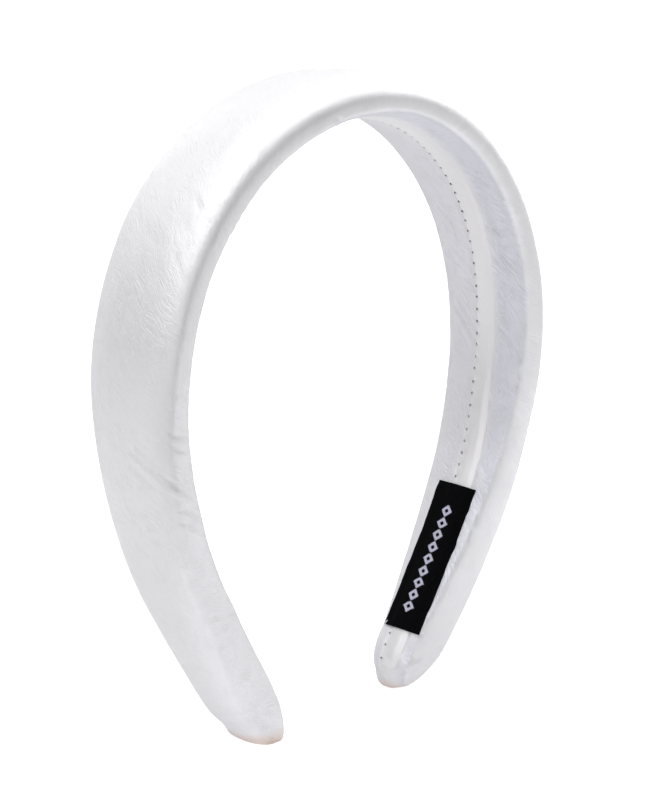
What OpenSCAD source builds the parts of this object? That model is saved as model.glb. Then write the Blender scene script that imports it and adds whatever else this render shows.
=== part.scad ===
/* [Band] */
// Length of the inner face from the crown to each tip
leg_len = 190; // [175:1:205]
// Width of the inner face at the crown
crown_w = 30.4; // [26:0.2:36]
// Thickness of the padding at the crown
crown_t = 8.9; // [7:0.1:11]

/* [Section] */
// How far the sides swell past the rim of the inner face, as a share of the thickness
side_swell = 0.125; // [0.05:0.005:0.2]
// Height of the widest line of the sides, as a share of the thickness
swell_place = 0.5; // [0.3:0.01:0.6]
// Squareness of the padded back, from 2 for an ellipse
back_power = 2.3; // [2:0.05:2.8]
// Rise of the inner face along its middle, as a share of its width
face_rise = 0.065; // [0.03:0.005:0.08]

/* [Tips] */
// Stretch above each foot over which the padding turns in to it
turn_len = 12; // [9:0.5:15]
// Stretch above each foot over which the sections come level with the floor
level_len = 22; // [16:1:30]

/* [Seam lap] */
// Width of the turned-in edge that is stitched down
lap_w = 4.6; // [3.5:0.1:5]
// Thickness of the doubled satin in the lap
lap_t = 1; // [1:0.05:1.2]
// How far the lap stands proud of the inner face
lap_proud = 0.4; // [0.2:0.05:0.5]
// Distance from the lap's ends to the feet
lap_end = 8; // [8:0.5:14]

/* [Label] */
// Length of the label along the leg
label_len = 39.4; // [30:0.2:44]
// Width of the label
label_w = 11.8; // [9:0.1:12]
// Thickness of the label
label_t = 1; // [1:0.05:1.2]
// Distance from the label's lower end to the foot
label_foot = 16.4; // [14:0.2:20]
// How far the label's middle lies in front of the face's middle, at its upper and its lower end
label_shift = [1, 0.75]; // [0:0.05:1]

/* [Hidden] */

// Arcs of the inner face from the crown down: share of the leg's length, degrees turned
BENDS = [
    [0.20, 38.2],
    [0.17, 32.5],
    [0.17, 28.4],
    [0.18, 20.1],
    [0.16, 5.5],
];
share = 0;
turn = 1;

// Evenly spaced places from the crown to the tip: inner face's width and padding's thickness as
// shares of those at the crown, and how far behind the middle the stitched edge of the lap runs
SECTIONS = [
    [1.000, 1.00, -3.5],
    [0.912, 0.96, -0.8],
    [0.797, 1.08, 1.4],
    [0.577, 1.41, -0.1],
    [0.277, 1.55, 3.2],
];
width = 0;
thick = 1;
seam = 2;

// Each tip: degrees that its last arc flares out, then its foot's width, depth and set-back
// from the inner face
TIPS = [
    [8.9, 13.4, 6.6, 5.5],
    [14.6, 7.5, 4.4, 5.6],
];
flare = 0;
foot_w = 1;
foot_d = 2;
foot_set = 3;
LEFT = 0;
RIGHT = 1;

// Share of the sides' swell that is left at a foot
foot_swell = 0.3;
// Clear space between two pieces that lie on each other
gap = 0.2;
// Depth of the channel that the lap lies in
channel_d = lap_t - lap_proud + gap;
// Run of the channel's sloped walls, and clear space beside the lap
wall_run = 0.25;
side_gap = 0.4;
// How far the channel runs past the lap's ends at its full depth, and over which it then fades
channel_past = 2.5;
channel_fade = 2;

// Rings along the straight run of a leg, and along the turned-in stretch of its tip
leg_rings = 40;
tip_rings = 8;
// Steps round the padded back and up each side of a section
back_steps = 20;
side_steps = 4;

// Value of a table's column at a share u of the leg, on a smooth curve through its rows
function curve(table, column, u) =
    let (last = len(table) - 1,
         x = u * last,
         i = min(floor(x), last - 1),
         t = x - i,
         before = table[abs(i - 1)][column],
         here = table[i][column],
         next = table[i + 1][column],
         after = i + 2 > last ? 2 * next - here : table[i + 2][column])
    here + t / 2 * (next - before
        + t * (2 * before - 5 * here + 4 * next - after
        + t * (3 * (here - next) + after - before)));

// Rises smoothly from 0 to 1 as x does
function ease(x) = let (t = min(max(x, 0), 1)) t * t * (3 - 2 * t);

// Arcs of one leg, as lengths in millimetres and degrees turned
function arcs(leg) =
    let (used = sum([for (b = BENDS) b[share]]))
    concat([for (b = BENDS) [b[share] * leg_len, b[turn]]],
           [[(1 - used) * leg_len, -TIPS[leg][flare]]]);

function sum(list, i = 0) = i < len(list) ? list[i] + sum(list, i + 1) : 0;

// Point and heading at length s along a chain of arcs: across, fallen, degrees turned
function along(chain, s, i = 0, at = [0, 0, 0]) =
    let (arc = chain[i],
         run = i < len(chain) - 1 ? min(s, arc[0]) : s,
         bend = arc[1] * run / arc[0],
         chord = run * (bend == 0 ? 1 : sin(bend / 2) / (bend / 2 * PI / 180)),
         aim = at[2] + bend / 2,
         to = at + [chord * cos(aim), chord * sin(aim), bend])
    i == len(chain) - 1 || s <= arc[0] ? to : along(chain, s - arc[0], i + 1, to);

// Height of the inner face at the crown, from which both legs come down to the floor
inner_h = along(arcs(LEFT), leg_len)[1];

// Section of a leg at length s: where it is, how it is turned, and its measures
function section(leg, s) =
    let (chain = arcs(leg),
         at = along(chain, s),
         whole = along(chain, leg_len),
         u = s / leg_len,
         tip = TIPS[leg],
         d = min((leg_len - s) / turn_len, 1),
         full = sqrt(max(1 - (1 - d) * (1 - d), 0)),
         w = crown_w / 2 * curve(SECTIONS, width, u),
         t = crown_t * curve(SECTIONS, thick, u))
    [
        leg == RIGHT ? 1 : -1,
        at[0],
        inner_h * (1 - at[1] / whole[1]),
        at[2] + (90 - at[2]) * ease(1 - (leg_len - s) / level_len),
        tip[foot_w] / 2 + (w - tip[foot_w] / 2) * full,
        tip[foot_d] + (t - tip[foot_d]) * full,
        side_swell * t * (foot_swell + (1 - foot_swell) * full),
        tip[foot_set] * (1 - full),
        curve(SECTIONS, seam, u),
        ease((leg_len - lap_end + channel_past - s) / channel_fade + 1),
    ];
side = 0;
across = 1;
height = 2;
lean = 3;
half_w = 4;
pad = 5;
swell = 6;
base = 7;
edge = 8;
channel = 9;

// Place in space of a section's point: y across the band, n out from the inner face
function place(c, y, n) =
    [c[side] * (c[across] + (n + c[base]) * sin(c[lean])), y,
     c[height] + (n + c[base]) * cos(c[lean])];

// How far the inner face lies from its rims at y, towards the head
function face(c, y) = -2 * face_rise * c[half_w] * (1 - pow(min(abs(y) / c[half_w], 1), 2));

function signed_pow(x, p) = sign(x) * pow(abs(x), p);

// Ring of the padded cover: up the rear side, over the back, down the front side, across the face
function cover_ring(c) =
    let (n0 = swell_place * c[pad],
         reach = c[half_w] + c[swell],
         cut = channel_d * c[channel],
         rear = c[edge] + side_gap,
         front = c[edge] - lap_w - side_gap)
    concat(
        [for (i = [0 : side_steps - 1]) let (a = 90 * i / side_steps)
            place(c, c[half_w] + c[swell] * sin(a), n0 * (1 - cos(a)))],
        [for (i = [0 : back_steps]) let (a = 180 * i / back_steps)
            place(c, reach * signed_pow(cos(a), 2 / back_power),
                n0 + (c[pad] - n0) * signed_pow(sin(a), 2 / back_power))],
        [for (i = [side_steps - 1 : -1 : 0]) let (a = 90 * i / side_steps)
            place(c, -c[half_w] - c[swell] * sin(a), n0 * (1 - cos(a)))],
        [for (f = [1 / 3, 2 / 3, 1]) let (y = -c[half_w] + f * (front + c[half_w]))
            place(c, y, face(c, y))],
        [for (y = [front + wall_run, (front + rear) / 2, rear - wall_run])
            place(c, y, face(c, y) + cut)],
        [for (f = [0, 1 / 3, 2 / 3]) let (y = rear + f * (c[half_w] - rear))
            place(c, y, face(c, y))]
    );

// Ring of the seam lap: a crisp stitched edge behind, a soft slope in front
function lap_ring(c) =
    let (low = channel_d - gap,
         high = -lap_proud,
         rows = [
             [0, low], [0, high / 2], [-0.08, high], [-0.5, high], [-0.75, high],
             [-0.97, high / 4], [-1, low], [-0.5, low],
         ])
    [for (r = rows) let (y = c[edge] + r[0] * lap_w) place(c, y, face(c, y) + r[1])];

// Ring of the label: its underside passes over the lap, its top is smooth
function label_ring(c, middle) =
    let (rear = middle + label_w / 2,
         front = middle - label_w / 2,
         over = lap_proud + gap,
         top = over + label_t,
         step = 0.5,
         rows = [
             [rear, gap], [(rear + c[edge] + step) / 2, gap], [c[edge] + step, gap],
             [c[edge], over], [c[edge] - lap_w / 2, over], [c[edge] - lap_w, over],
             [min(front, c[edge] - lap_w - step), gap],
             [front - 0.1, top], [middle - label_w / 6, top], [middle + label_w / 6, top],
             [rear, top],
         ])
    [for (r = rows) place(c, r[0], face(c, r[0]) - r[1])];

// Closed solid through rings that all have the same number of points
module swept(rings) {
    n = len(rings[0]);
    last = len(rings) - 1;
    polyhedron(
        points = [for (ring = rings) each ring],
        faces = concat(
            [[for (k = [0 : n - 1]) k]],
            [for (i = [0 : last - 1], k = [0 : n - 1]) let (m = (k + 1) % n)
                each [[i * n + k, (i + 1) * n + k, (i + 1) * n + m],
                      [i * n + k, (i + 1) * n + m, i * n + m]]],
            [[for (k = [n - 1 : -1 : 0]) last * n + k]]
        )
    );
}

// Lengths along a leg, from near the crown to its foot, closer where the tip turns in
leg_places = concat(
    [for (i = [1 : leg_rings]) (leg_len - turn_len) * i / leg_rings],
    [for (i = [1 : tip_rings]) leg_len - turn_len * (1 - cos(90 * (1 - i / tip_rings)))]
);

// Sections from the left foot over the crown to the right foot, as far as length s on each leg
function both_legs(places) = concat(
    [for (i = [len(places) - 1 : -1 : 0]) section(LEFT, places[i])],
    [section(RIGHT, 0)],
    [for (s = places) section(RIGHT, s)]
);

// The padded, satin-covered band itself
module padded_cover() {
    color("#f1f0f3")
    swept([for (c = both_legs(leg_places)) cover_ring(c)]);
}

// The stitched-down edge of the satin along the middle of the inner face
module seam_lap() {
    reach = leg_len - lap_end;
    lap_places = [for (i = [1 : leg_rings]) reach * i / leg_rings];
    color("#e7e5e8")
    swept([for (c = both_legs(lap_places)) lap_ring(c)]);
}

// The woven label near the foot of the right leg
module woven_label() {
    low = leg_len - label_foot;
    label_rings = 16;
    color("#0b0b0d")
    swept([for (i = [0 : label_rings]) let (up = 1 - i / label_rings)
        label_ring(section(RIGHT, low - label_len * up),
                   -label_shift[1] - (label_shift[0] - label_shift[1]) * up)]);
}

padded_cover();
seam_lap();
woven_label();
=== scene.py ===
"""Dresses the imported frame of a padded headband: crinkled satin, its stitched seam and a woven label."""

from __future__ import annotations

import logging
import math
from dataclasses import dataclass, field
from enum import Enum

import bpy
import numpy as np
from mathutils import Matrix, Vector


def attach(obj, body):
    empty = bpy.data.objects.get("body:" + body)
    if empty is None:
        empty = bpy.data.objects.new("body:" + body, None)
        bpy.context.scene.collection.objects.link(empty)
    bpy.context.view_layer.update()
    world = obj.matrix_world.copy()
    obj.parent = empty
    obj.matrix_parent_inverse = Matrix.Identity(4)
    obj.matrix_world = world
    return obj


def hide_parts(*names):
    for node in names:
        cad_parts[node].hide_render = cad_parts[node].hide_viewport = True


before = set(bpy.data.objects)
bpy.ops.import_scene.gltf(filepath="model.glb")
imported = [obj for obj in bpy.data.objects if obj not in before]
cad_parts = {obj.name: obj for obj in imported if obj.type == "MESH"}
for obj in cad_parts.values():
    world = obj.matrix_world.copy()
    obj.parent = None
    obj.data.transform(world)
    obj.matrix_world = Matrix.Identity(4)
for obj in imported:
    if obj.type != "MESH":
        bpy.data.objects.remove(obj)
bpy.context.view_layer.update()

LOG = logging.getLogger("headband")
MM = 0.001
FABRIC_UNIT = 0.01
FABRIC_MAP = "fabric"
GRAIN_MAP = "grain"
HOLLOW = 100.0
BODY = "root"


class Slot(Enum):
    """Material slots of the record that the pieces' finishes stand for."""

    SATIN = "satin"
    TAPE = "label_tape"


class Hold(Enum):
    """How a sheet of cloth is held."""

    FOLDED = "folded"
    LAID = "laid"


class Value:
    """A number socket; Python's operators on it add Math nodes to its tree."""

    def __init__(self, paint: Paint, socket: bpy.types.NodeSocket) -> None:
        """Wraps a socket.

        Args:
            paint: The material that the socket belongs to.
            socket: The output socket that holds the number.
        """
        self.paint = paint
        self.socket = socket

    def math(self, operation: str, *others: Value | float, swap: bool = False) -> Value:
        """Adds one Math node.

        Args:
            operation: The Math node's operation.
            others: The further operands, as sockets or numbers.
            swap: Whether this value is the second operand.

        Returns:
            The node's result.
        """
        operands = [self, *others]
        if swap:
            operands.reverse()
        return self.paint.node("Math", {"operation": operation}, dict(enumerate(operands))).out()

    def __add__(self, other: Value | float) -> Value:
        """Sum."""
        return self.math("ADD", other)

    __radd__ = __add__

    def __sub__(self, other: Value | float) -> Value:
        """Difference."""
        return self.math("SUBTRACT", other)

    def __rsub__(self, other: float) -> Value:
        """Difference from a number."""
        return self.math("SUBTRACT", other, swap=True)

    def __mul__(self, other: Value | float) -> Value:
        """Product."""
        return self.math("MULTIPLY", other)

    __rmul__ = __mul__

    def __truediv__(self, other: Value | float) -> Value:
        """Quotient."""
        return self.math("DIVIDE", other)

    def __pow__(self, power: float) -> Value:
        """Power."""
        return self.math("POWER", power)

    def __abs__(self) -> Value:
        """Size without sign."""
        return self.math("ABSOLUTE")

    def floor(self) -> Value:
        """Whole number below."""
        return self.math("FLOOR")

    def sine(self) -> Value:
        """Sine of an angle in radians."""
        return self.math("SINE")

    def least(self, other: Value | float) -> Value:
        """The smaller of two."""
        return self.math("MINIMUM", other)

    def rise(self, low: float, high: float) -> Value:
        """Smooth step from 0 at low to 1 at high.

        Args:
            low: Where the step starts.
            high: Where it ends; below low, the step falls instead.

        Returns:
            The step's value.
        """
        turned = high < low
        ends = (high, low) if turned else (low, high)
        step = self.paint.node(
            "MapRange",
            {"interpolation_type": "SMOOTHSTEP"},
            {"Value": self, "From Min": ends[0], "From Max": ends[1]},
        ).out()
        return 1 - step if turned else step


class Made:
    """A node that was added to a material, with its outputs as values."""

    def __init__(self, paint: Paint, node: bpy.types.Node) -> None:
        """Keeps the node and its material."""
        self.paint = paint
        self.node = node

    def out(self, name: str | int = 0) -> Value:
        """One output of the node as a value."""
        return Value(self.paint, self.node.outputs[name])


class Paint:
    """The nodes of a material, or of the sky, under construction."""

    def __init__(self, holder: bpy.types.Material | bpy.types.World) -> None:
        """Empties the holder's nodes."""
        self.holder = holder
        self.holder.use_nodes = True
        self.tree = self.holder.node_tree
        self.tree.nodes.clear()

    @classmethod
    def named(cls, name: str) -> Paint:
        """Starts a new material."""
        return cls(bpy.data.materials.new(name))

    def node(
        self,
        kind: str,
        settings: dict[str, object] | None = None,
        sockets: dict[str | int, object] | None = None,
    ) -> Made:
        """Adds a shader node.

        Args:
            kind: The node's type without its ShaderNode prefix.
            settings: Its settings, which are set first.
            sockets: Values or links of its input sockets, by name or number.

        Returns:
            The node.
        """
        node = self.tree.nodes.new("ShaderNode" + kind)
        for key, setting in (settings or {}).items():
            setattr(node, key, setting)
        for key, value in (sockets or {}).items():
            socket = node.inputs[key]
            if isinstance(value, Value):
                self.tree.links.new(value.socket, socket)
            elif isinstance(value, tuple) and socket.type == "RGBA" and len(value) == 3:
                socket.default_value = (*value, 1.0)
            else:
                socket.default_value = value
        return Made(self, node)

    def fabric(self, layer: str = FABRIC_MAP) -> tuple[Value, Value]:
        """Distances on the cloth in millimetres.

        Args:
            layer: The map that they are read from.

        Returns:
            Along the band and round it, or across the grain and the weight of the painted hollow shade.
        """
        spot = self.node("UVMap", {"uv_map": layer}).out()
        parts = self.node("SeparateXYZ", None, {0: spot})
        return parts.out(0) * (1 / FABRIC_UNIT), parts.out(1) * (1 / FABRIC_UNIT)

    def vector(self, x: Value | float, y: Value | float, z: Value | float = 0.0) -> Value:
        """A vector from three numbers."""
        return self.node("CombineXYZ", None, {0: x, 1: y, 2: z}).out()

    def noise(self, spot: Value, scale: float = 1.0, detail: float = 2.0, rough: float = 0.5) -> Value:
        """Smooth noise around one half.

        Args:
            spot: Where it is read.
            scale: Its frequency.
            detail: Its octaves above the first.
            rough: Weight of each octave against the one below.

        Returns:
            The noise.
        """
        sockets = {"Vector": spot, "Scale": scale, "Detail": detail, "Roughness": rough}
        return self.node("TexNoise", None, sockets).out("Fac")

    def streaks(
        self,
        spot: tuple[Value, Value],
        size: tuple[float, float],
        layer: float = 0.0,
        detail: float = 2.0,
        rough: float = 0.5,
    ) -> Value:
        """Noise on the cloth, in streaks of a given size.

        Args:
            spot: Where it is read, as two distances on the cloth.
            size: Size of a streak along both, in millimetres.
            layer: Which of many unlike patterns is taken.
            detail: Its octaves above the first.
            rough: Weight of each octave against the one below.

        Returns:
            The noise.
        """
        flat = self.vector(spot[0] / size[0], spot[1] / size[1], layer)
        return self.noise(flat, 1.0, detail, rough)

    def mix(self, share: Value | float, first: object, second: object, blend: str = "MIX") -> Value:
        """Mixes two colours.

        Args:
            share: The second colour's weight.
            first: A colour or its socket.
            second: A colour or its socket.
            blend: The Mix node's blend type.

        Returns:
            The mixed colour.
        """
        settings = {"data_type": "RGBA", "blend_type": blend}
        return self.node("Mix", settings, {0: share, 6: first, 7: second}).out(2)

    def bump(self, height: Value, distance: float) -> Value:
        """Bends the shading normal by a height.

        Args:
            height: The height, in steps of distance.
            distance: Millimetres of height for a value of one.

        Returns:
            The normal.
        """
        sockets = {"Height": height, "Distance": distance * MM, "Strength": 1.0}
        return self.node("Bump", None, sockets).out()

    def finish(self, **sockets: object) -> bpy.types.Material:
        """Ends the material in a Principled surface.

        Args:
            sockets: The shader's inputs, with spaces in their names as underscores.

        Returns:
            The material.
        """
        named = {key.replace("_", " "): value for key, value in sockets.items()}
        surface = self.node("BsdfPrincipled", None, named).out()
        self.node("OutputMaterial", None, {0: surface})
        return self.holder


@dataclass(frozen=True)
class CrinkledSatin:
    """Pale satin with fine crinkles that run round the band in one long twist.

    Attributes:
        name: The material's name.
        colour: Colour of the cloth.
        crease_shade_colour: Painted shade of the cloth in a sharp crinkle.
        hollow_shade_colour: Painted bluish shade over the hollows of the inner face.
        painted_bounce_colour: Painted warm reflection of the floor, with contact shade, at the bottoms of
            the feet.
        painted_bounce_height: Where the painted floor reflection ends, in millimetres over the floor.
        rough: Its least roughness.
        gleam: How metallic its sheen is.
        crinkle: Strength of the crinkles, against those of the cover.
        relief: Height in millimetres that the depths below are shares of.
        outside_relief: How much of it shows outside the hollows.
        outside_crease_shade: How much of the painted crease shade shows there.
        hollow_gain: How much more of both shows in the hollows.
        wander: How far the crinkles stray from the twist, in millimetres.
        long_deep: Depth of the long swells.
        short_deep: Depth of the short swells.
        fine_deep: Depth of the grain.
        sharp_deep: Depth of the long sharp lines.
        nick_deep: Depth of the short sharp lines.
    """

    name: str
    colour: tuple[float, float, float] = (0.81, 0.805, 0.82)
    crease_shade_colour: tuple[float, float, float] = (0.69, 0.685, 0.72)
    hollow_shade_colour: tuple[float, float, float] = (0.92, 0.925, 0.975)
    painted_bounce_colour: tuple[float, float, float] = (0.74, 0.62, 0.55)
    painted_bounce_height: float = 3.6
    rough: float = 0.32
    gleam: float = 0.32
    crinkle: float = 1.0
    relief: float = 0.13
    outside_relief: float = 0.62
    outside_crease_shade: float = 0.22
    hollow_gain: float = 0.6
    wander: float = 7.0
    long_deep: float = 0.24
    short_deep: float = 0.20
    fine_deep: float = 0.13
    sharp_deep: float = 0.48
    nick_deep: float = 0.34

    @staticmethod
    def lines(noise: Value, low: float) -> Value:
        """Thin lines where a noise passes through its middle, as sharp as low is near one."""
        return (1 - abs(noise * 2 - 1)).rise(low, 1.0)

    def material(self) -> bpy.types.Material:
        """Builds the material."""
        paint = Paint.named(self.name)
        cloth = paint.fabric()
        # The grain map's second part is the weight of the painted shade in the hollows of the inner face.
        grain, hollow = paint.fabric(GRAIN_MAP)
        slow = paint.streaks(cloth, (14.0, 11.0))
        patch = paint.streaks(cloth, (8.0, 6.0), 3.0)
        bent = (grain + slow * self.wander, cloth[1])
        long_lines = paint.streaks(bent, (1.15, 4.2), 0.0, 3.0, 0.55)
        short_lines = paint.streaks(bent, (0.62, 1.6), 5.0, 2.0, 0.55)
        fine = paint.streaks(bent, (0.26, 0.9), 9.0, 2.0, 0.6)
        sharp = self.lines(long_lines, 0.84) * patch.rise(0.42, 0.60)
        nick = self.lines(short_lines, 0.88) * patch.rise(0.56, 0.40)
        swells = long_lines * self.long_deep + short_lines * self.short_deep + fine * self.fine_deep
        height = swells - sharp * self.sharp_deep - nick * self.nick_deep
        more = hollow * (self.hollow_gain / HOLLOW)
        # Painted shade: sharp crinkle lines are darkened towards the crease colour, more deeply in the
        # hollows of the inner face.
        painted_crease_shade = (sharp * 0.8 + nick * 0.5) * (more + self.outside_crease_shade)
        tone = paint.mix(painted_crease_shade.least(1.0), self.colour, self.crease_shade_colour)
        # Painted shade: a bluish shade colour is multiplied over the hollows of the inner face.
        tone = paint.mix(hollow / HOLLOW, tone, self.hollow_shade_colour, "MULTIPLY")
        # Painted warm reflection of the floor, with contact shade, fading out upwards from the bottoms of
        # the feet.
        over_floor = paint.node("SeparateXYZ", None, {0: paint.node("TexCoord").out("Object")}).out(2)
        painted_bounce = over_floor.rise(self.painted_bounce_height * MM, 0.0)
        return paint.finish(
            Base_Color=paint.mix(painted_bounce, tone, self.painted_bounce_colour),
            Metallic=self.gleam,
            Roughness=slow * 0.12 + self.rough,
            Specular_IOR_Level=0.5,
            Sheen_Weight=0.10,
            Sheen_Roughness=0.4,
            Normal=paint.bump(height * (more + self.outside_relief), self.relief * self.crinkle),
        )


@dataclass(frozen=True)
class WovenTape:
    """Black woven tape with a row of pale lozenges along its middle.

    Attributes:
        name: The material's name.
        black: Colour of the ground.
        fleck: Colour of its paler threads.
        pale: Colour of the lozenges.
        pale_shade: Their colour between two threads.
        thread: Distance between threads, in millimetres.
        first: Where the row begins, from the label's upper end.
        last: Where it ends.
        step: Distance between lozenges.
        half_long: Half a lozenge's length along the row.
        half_wide: Half its width across.
    """

    name: str = "woven_tape"
    black: tuple[float, float, float] = (0.0016, 0.0016, 0.0020)
    fleck: tuple[float, float, float] = (0.0062, 0.0062, 0.0072)
    pale: tuple[float, float, float] = (0.66, 0.66, 0.80)
    pale_shade: tuple[float, float, float] = (0.34, 0.34, 0.43)
    thread: float = 0.26
    first: float = 5.7
    last: float = 35.0
    step: float = 3.255
    half_long: float = 1.6
    half_wide: float = 1.75

    def material(self) -> bpy.types.Material:
        """Builds the material; the cloth's first distance runs down the label from its upper end."""
        paint = Paint.named(self.name)
        run, side = paint.fabric()
        pick_run = ((run / self.thread).floor() + 0.5) * self.thread
        pick_side = ((side / self.thread).floor() + 0.5) * self.thread
        turn = (pick_run - self.first) / self.step
        near = abs(turn - turn.floor() - 0.5) * (self.step / self.half_long)
        loz = near + abs(pick_side) / self.half_wide
        inside = loz.rise(1.02, 0.98)
        hollow = loz.rise(0.42, 0.38)
        soft = 0.05
        begun = run.rise(self.first - soft, self.first + soft)
        row = begun * run.rise(self.last + soft, self.last - soft)
        pale = (inside - hollow) * row
        weft = (run * (2 * math.pi / self.thread)).sine()
        warp = ((side + run * 0.5) * (2 * math.pi / self.thread)).sine()
        weave = weft * 0.5 + warp * 0.5
        fuzz = paint.noise(paint.vector(run, side), 2.6, 3.0)
        shade = paint.mix((fuzz * 0.8 + weave * 0.25).rise(0.25, 0.75), self.black, self.fleck)
        pale_tone = paint.mix(weave.rise(-1.0, 0.5), self.pale_shade, self.pale)
        return paint.finish(
            Base_Color=paint.mix(pale, shade, pale_tone),
            Roughness=0.95,
            Specular_IOR_Level=0.03,
            Normal=paint.bump(weave + fuzz * 0.8 + pale * 1.2, 0.05),
        )


@dataclass(frozen=True)
class PlainThread:
    """Twisted sewing thread, or the painted shadow inside a needle hole."""

    name: str
    colour: tuple[float, float, float]
    rough: float = 0.6

    def material(self) -> bpy.types.Material:
        """Builds the material."""
        paint = Paint.named(self.name)
        spot = paint.node("TexCoord").out("Object")
        fleck = paint.noise(spot, 2400.0, 2.0)
        darker = tuple(part * 0.72 for part in self.colour)
        return paint.finish(
            Base_Color=paint.mix(fleck, darker, self.colour),
            Roughness=self.rough,
            Specular_IOR_Level=0.3,
            Normal=paint.bump(fleck, 0.04),
        )


@dataclass(frozen=True)
class StudioPaper:
    """The pale paper that the band stands on."""

    name: str = "studio_paper"
    colour: tuple[float, float, float] = (0.35, 0.35, 0.35)
    glow: float = 0.86

    def material(self) -> bpy.types.Material:
        """Builds the material."""
        paint = Paint.named(self.name)
        grain = paint.noise(paint.node("TexCoord").out("Object"), 60.0, 2.0)
        shade = tuple(part * 0.985 for part in self.colour)
        return paint.finish(
            Base_Color=paint.mix(grain, shade, self.colour),
            Roughness=1.0,
            Specular_IOR_Level=0.0,
            Emission_Color=(1.0, 1.0, 1.0),
            Emission_Strength=self.glow,
        )


@dataclass(frozen=True)
class GlowTable:
    """What the lit table throws up at the band: most of it from close by.

    Attributes:
        name: The material's name.
        colour: Colour of the table.
        tint: Colour of the glow.
        near_reach: Where the near part ends, in metres from the band's middle.
        wide_reach: Where the wider part ends.
        blur: How softly both end, as a share of their reach.
        near: Glow of the near part at left front, right front, right rear and left rear.
        wide: Glow of the wider part at the same four sides.
        far: Glow beyond.
    """

    name: str = "glow_table"
    colour: tuple[float, float, float] = (0.45, 0.45, 0.45)
    tint: tuple[float, float, float] = (1.0, 0.995, 1.04)
    near_reach: float = 0.12
    wide_reach: float = 0.30
    blur: float = 0.25
    near: tuple[float, float, float, float] = (0.64, 0.50, 0.20, 0.30)
    wide: tuple[float, float, float, float] = (0.20, 0.95, 0.30, 0.40)
    far: tuple[float, float, float, float] = (0.0, 0.15, 0.0, 0.20)

    def material(self) -> bpy.types.Material:
        """Builds the material."""
        paint = Paint.named(self.name)
        spot = paint.node("SeparateXYZ", None, {0: paint.node("TexCoord").out("Object")})
        x, y = spot.out(0), spot.out(1)
        reach = (x * x + y * y) ** 0.5
        outer, inner = 1 + self.blur, 1 - self.blur
        close = reach.rise(self.near_reach * outer, self.near_reach * inner)
        around = reach.rise(self.wide_reach * outer, self.wide_reach * inner)
        soft = 0.01
        right, behind = x.rise(-soft, soft), y.rise(-soft, soft)
        sides = ((1 - right) * (1 - behind), right * (1 - behind), right * behind, (1 - right) * behind)
        glow: Value | float = 0.0
        for side, near, wide, far in zip(sides, self.near, self.wide, self.far, strict=True):
            glow = glow + side * (close * (near - wide) + around * (wide - far) + far)
        return paint.finish(
            Base_Color=self.colour,
            Roughness=1.0,
            Specular_IOR_Level=0.0,
            Emission_Color=paint.mix(glow, (0.0, 0.0, 0.0), self.tint),
            Emission_Strength=1.0,
        )


class ClothNoise:
    """Repeatable smooth noise on a plane, for the shapes of the cloth."""

    SIZE = 256

    def __init__(self, seed: int) -> None:
        """Draws the lattice of the noise."""
        self.lattice = np.random.default_rng(seed).uniform(-1.0, 1.0, (self.SIZE, self.SIZE))

    def at(self, x: np.ndarray, y: np.ndarray) -> np.ndarray:
        """Noise between -1 and 1.

        Args:
            x: First coordinate, one unit a cell.
            y: Second coordinate.

        Returns:
            The noise at each place.
        """
        cell_x, cell_y = np.floor(x).astype(int), np.floor(y).astype(int)
        part_x, part_y = x - cell_x, y - cell_y
        ease_x = part_x**3 * (part_x * (part_x * 6 - 15) + 10)
        ease_y = part_y**3 * (part_y * (part_y * 6 - 15) + 10)
        i, j = cell_x % self.SIZE, cell_y % self.SIZE
        k, m = (i + 1) % self.SIZE, (j + 1) % self.SIZE
        low = self.lattice[i, j] * (1 - ease_x) + self.lattice[k, j] * ease_x
        high = self.lattice[i, m] * (1 - ease_x) + self.lattice[k, m] * ease_x
        return low * (1 - ease_y) + high * ease_y


def ease(x: np.ndarray | float) -> np.ndarray:
    """Smooth step from 0 to 1 as x does."""
    part = np.clip(x, 0.0, 1.0)
    return part * part * (3 - 2 * part)


def bell(x: np.ndarray, width: float) -> np.ndarray:
    """Bell curve of height one."""
    return np.exp(-((x / width) ** 2))


def groove(off: np.ndarray, wide: float, lip: float, beside: float) -> np.ndarray:
    """Profile of a crease: a groove of depth one with a soft lip along one side.

    Args:
        off: Distance from the crease's line.
        wide: Width of the groove.
        lip: Height of the lip.
        beside: Distance of the lip from the line, in widths.

    Returns:
        The height at each place.
    """
    return -bell(off, wide) + lip * bell(off - beside * wide, 1.2 * wide)


def grid_of(*parts: np.ndarray | float) -> np.ndarray:
    """Joins arrays, stretched to one shape, along a new last axis."""
    return np.stack(np.broadcast_arrays(*parts), axis=-1)


@dataclass(frozen=True)
class Tip:
    """The foot of one leg.

    Attributes:
        flare: Degrees that the leg's last arc turns outwards.
        width: Width of the foot.
        depth: Its depth, from the inner face out.
        set_back: How far it lies behind the line of the inner face.
    """

    flare: float
    width: float
    depth: float
    set_back: float


@dataclass
class Sections:
    """Sections across the band, one for each place along it; every field is an array over the places."""

    place_along: np.ndarray
    side: np.ndarray
    across: np.ndarray
    height: np.ndarray
    lean: np.ndarray
    half_w: np.ndarray
    pad: np.ndarray
    swell: np.ndarray
    base: np.ndarray
    edge: np.ndarray

    def at(self, y: np.ndarray, out: np.ndarray) -> np.ndarray:
        """Places in space of points on the sections.

        Args:
            y: Distance behind the middle of the band, one row a section.
            out: Distance out from the line of the inner face's rims.

        Returns:
            Points, with a last axis of x, y and z.
        """
        reach = out + self.base[:, None]
        x = self.side[:, None] * (self.across[:, None] + reach * np.sin(self.lean)[:, None])
        z = self.height[:, None] + reach * np.cos(self.lean)[:, None]
        return grid_of(x, y, z)


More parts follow.
